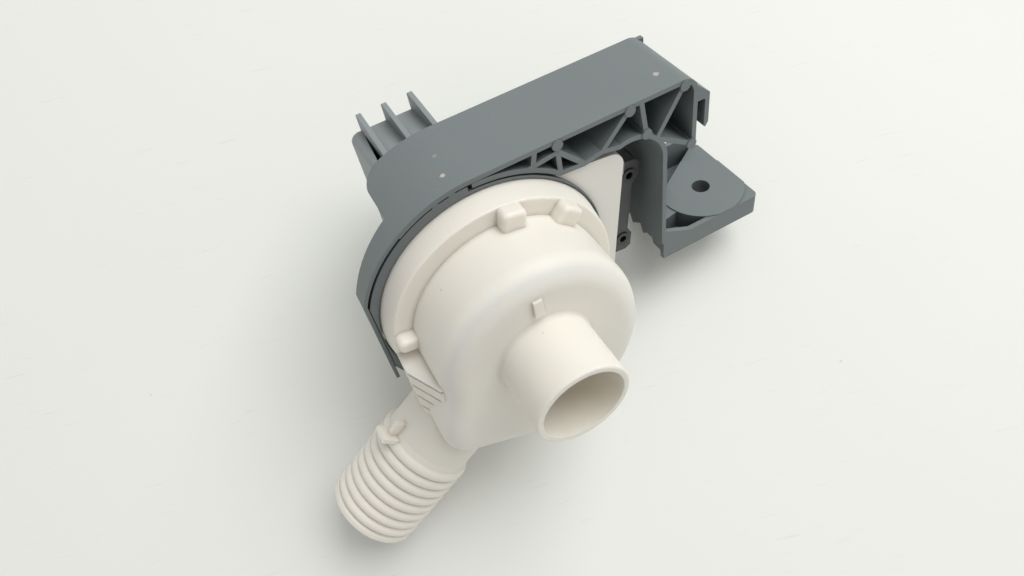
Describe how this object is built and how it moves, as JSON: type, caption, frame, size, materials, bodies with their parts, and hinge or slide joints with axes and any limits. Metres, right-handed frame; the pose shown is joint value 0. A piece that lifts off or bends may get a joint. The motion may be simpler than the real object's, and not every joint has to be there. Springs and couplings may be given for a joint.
{
  "type": "washing machine drain pump",
  "caption": "Drain pump with a spiral housing, straight inlet and ribbed outlet spigot, magnet rotor with a lost-motion impeller, and a grey bracket with truss, hook and screw foot.",
  "frame": {"origin": "middle of the inlet spigot's mouth, on the shaft line", "axes": "-Y out of the inlet along the shaft line, +Z square to the bracket's long wall, +X along that wall towards the foot"},
  "size_m": [0.2177, 0.1401, 0.1441],
  "materials": {
    "volute_plastic": "smooth moulded",
    "plate_plastic": "smooth moulded",
    "ring_plastic": "smooth moulded",
    "bracket_plastic": "fine grained",
    "shroud_plastic": "fine grained",
    "seal_rubber": "smooth",
    "holder_rubber": "smooth",
    "buffer_rubber": "smooth",
    "screw_steel": "zinc plated",
    "shaft_steel": "ground",
    "clip_steel": "spring steel",
    "washer_plastic": "smooth",
    "magnet_ferrite": "ground ferrite",
    "bush_ceramic": "graphite filled",
    "impeller_plastic": "smooth moulded",
    "dog_plastic": "smooth",
    "core_steel": "stacked laminations",
    "rivet_steel": "plated",
    "bobbin_plastic": "smooth moulded",
    "winding_copper": "enamelled wire",
    "cutout_plastic": "smooth",
    "terminal_brass": "tinned"
  },
  "bodies": {
    "housing": {"volute_housing": "volute_plastic", "volute_seal": "seal_rubber", "end_plate": "plate_plastic", "seat_ring": "ring_plastic", "plate_screws": "screw_steel", "front_bush": "bush_ceramic", "rear_bush": "bush_ceramic", "front_bush_holder": "holder_rubber", "rear_bush_holder": "holder_rubber", "stator_core": "core_steel", "core_rivets": "rivet_steel", "bobbin_upper": "bobbin_plastic", "bobbin_lower": "bobbin_plastic", "winding_upper": "winding_copper", "winding_lower": "winding_copper", "thermal_cutout": "cutout_plastic", "terminals": "terminal_brass", "rear_shroud": "shroud_plastic", "mounting_bracket": "bracket_plastic"},
    "rotor": {"shaft": "shaft_steel", "rotor_magnet": "magnet_ferrite", "drive_dog": "dog_plastic", "front_thrust_washer": "washer_plastic", "rear_thrust_washer": "washer_plastic", "retaining_clip": "clip_steel"},
    "impeller_wheel": {"impeller": "impeller_plastic", "dog_buffer": "buffer_rubber"}
  },
  "joints": [
    {"name": "rotor_spin", "type": "hinge", "parent": "housing", "child": "rotor", "pos_m": [0, 0.0631, 0], "axis": [0, -1, 0], "continuous": true},
    {"name": "impeller_slip", "type": "hinge", "parent": "rotor", "child": "impeller_wheel", "pos_m": [0, 0.0551, 0], "axis": [0, -1, 0], "range_deg": [-125, 125]}
  ]
}
